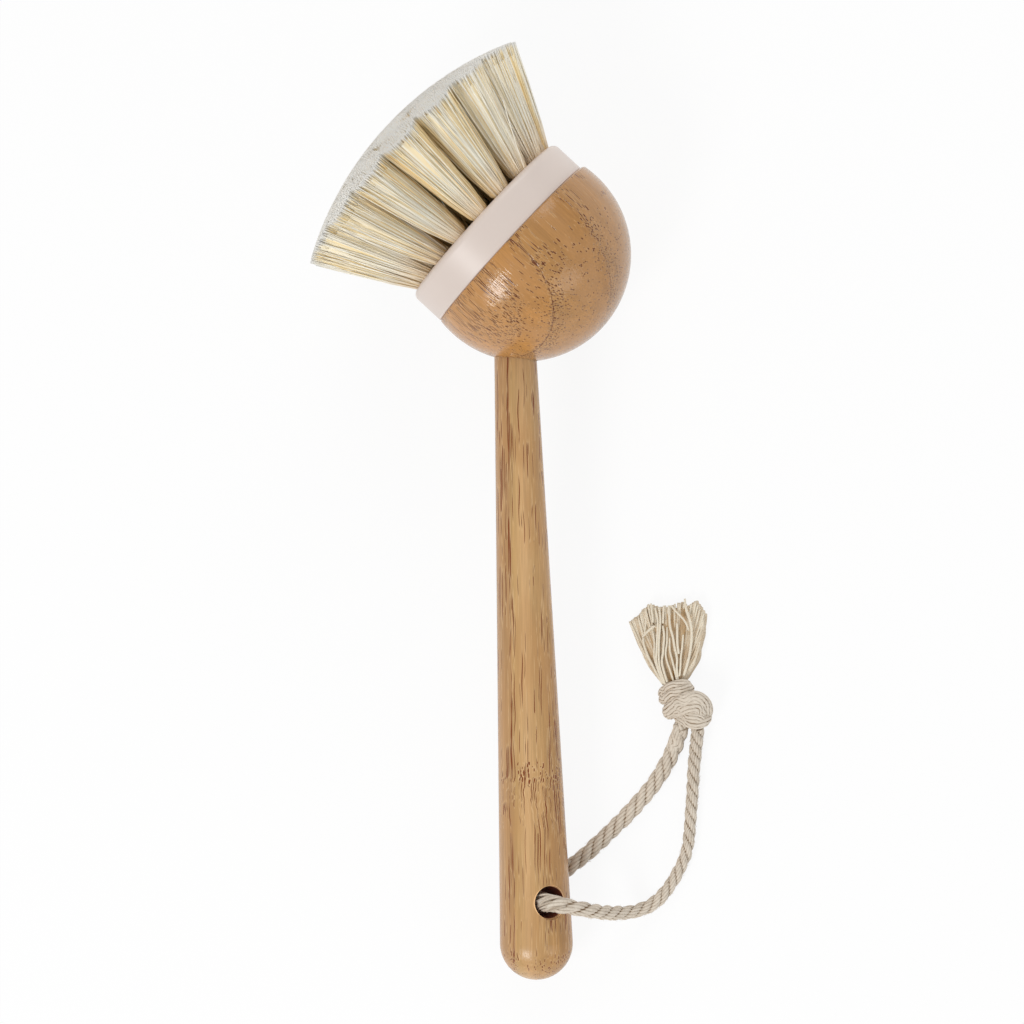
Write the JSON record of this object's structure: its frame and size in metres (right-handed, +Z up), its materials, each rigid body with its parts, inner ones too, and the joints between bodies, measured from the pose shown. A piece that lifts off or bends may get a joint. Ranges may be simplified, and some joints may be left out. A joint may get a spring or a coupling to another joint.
{
  "type": "long-handled dish brush",
  "caption": "Dish brush lying at rest: a stiff-bristled round head in a plastic collar on a bamboo ball, a long tapered bamboo handle and a knotted hanging cord.",
  "frame": {"origin": "on the surface that the brush lies on, under the middle of the box of its own pieces, without the cord", "axes": "+Z is up from the surface, +Y runs along the handle towards the head, and +X points to the side where the cord lies"},
  "size_m": [0.1006, 0.249, 0.076],
  "materials": {
    "bamboo": "satin clear varnish",
    "polypropylene": "moulded, satin",
    "bristle": "drawn filament",
    "staple_wire": "drawn wire",
    "cotton_cord": "twisted natural cotton"
  },
  "bodies": {
    "root": {"ball_head": "bamboo", "bristle_block": "polypropylene", "cord_knot": "cotton_cord", "cord_tassel": "cotton_cord", "handle": "bamboo", "hanging_cord": "cotton_cord", "tuft_centre": "bristle", "tuft_inner_01": "bristle", "tuft_inner_02": "bristle", "tuft_inner_03": "bristle", "tuft_inner_04": "bristle", "tuft_inner_05": "bristle", "tuft_inner_06": "bristle", "tuft_middle_01": "bristle", "tuft_middle_02": "bristle", "tuft_middle_03": "bristle", "tuft_middle_04": "bristle", "tuft_middle_05": "bristle", "tuft_middle_06": "bristle", "tuft_middle_07": "bristle", "tuft_middle_08": "bristle", "tuft_middle_09": "bristle", "tuft_middle_10": "bristle", "tuft_middle_11": "bristle", "tuft_middle_12": "bristle", "tuft_outer_01": "bristle", "tuft_outer_02": "bristle", "tuft_outer_03": "bristle", "tuft_outer_04": "bristle", "tuft_outer_05": "bristle", "tuft_outer_06": "bristle", "tuft_outer_07": "bristle", "tuft_outer_08": "bristle", "tuft_outer_09": "bristle", "tuft_outer_10": "bristle", "tuft_outer_11": "bristle", "tuft_outer_12": "bristle", "tuft_outer_13": "bristle", "tuft_outer_14": "bristle", "tuft_outer_15": "bristle", "tuft_outer_16": "bristle", "tuft_outer_17": "bristle", "tuft_outer_18": "bristle", "tuft_staples": "staple_wire"}
  },
  "joints": []
}
